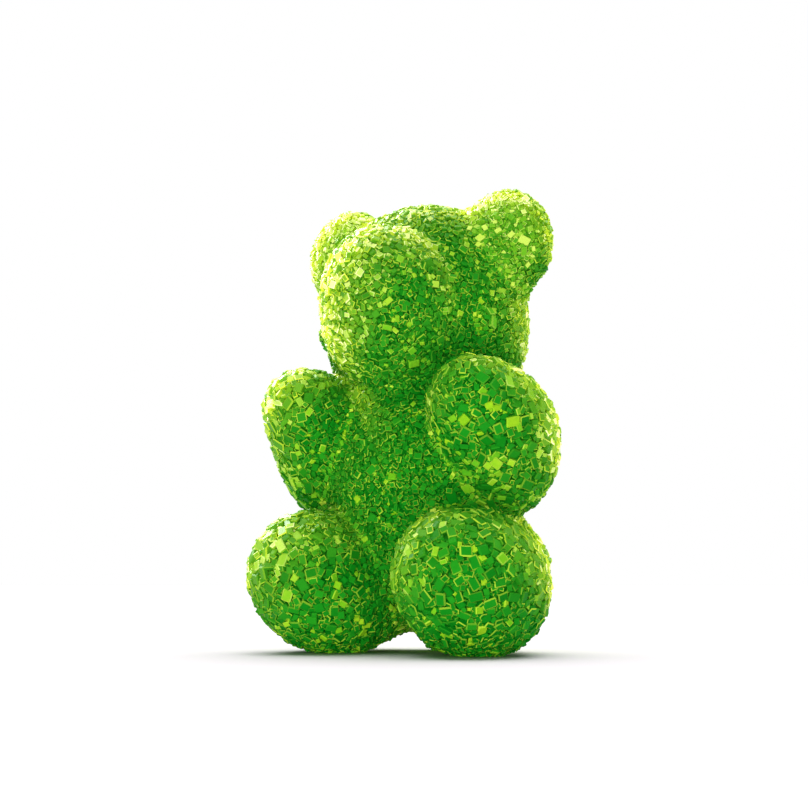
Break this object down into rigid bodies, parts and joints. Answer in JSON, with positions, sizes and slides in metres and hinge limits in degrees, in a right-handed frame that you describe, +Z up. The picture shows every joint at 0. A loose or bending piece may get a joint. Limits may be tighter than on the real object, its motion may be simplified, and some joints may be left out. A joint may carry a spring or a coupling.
{
  "type": "sugared gummy bear",
  "caption": "Bear-shaped gummy candy coated all over in sugar crystals, standing upright with its paws raised to its chest.",
  "frame": {"origin": "on the table, under the middle of the bear's outline", "axes": "+Z up through the head, -Y the way the bear faces, +X towards its left side"},
  "size_m": [0.015, 0.0112, 0.0219],
  "materials": {
    "sugared_jelly": "translucent green fruit jelly under a dense coat of clear sugar crystals"
  },
  "bodies": {
    "root": {"gummy_bear": "sugared_jelly"}
  },
  "joints": []
}
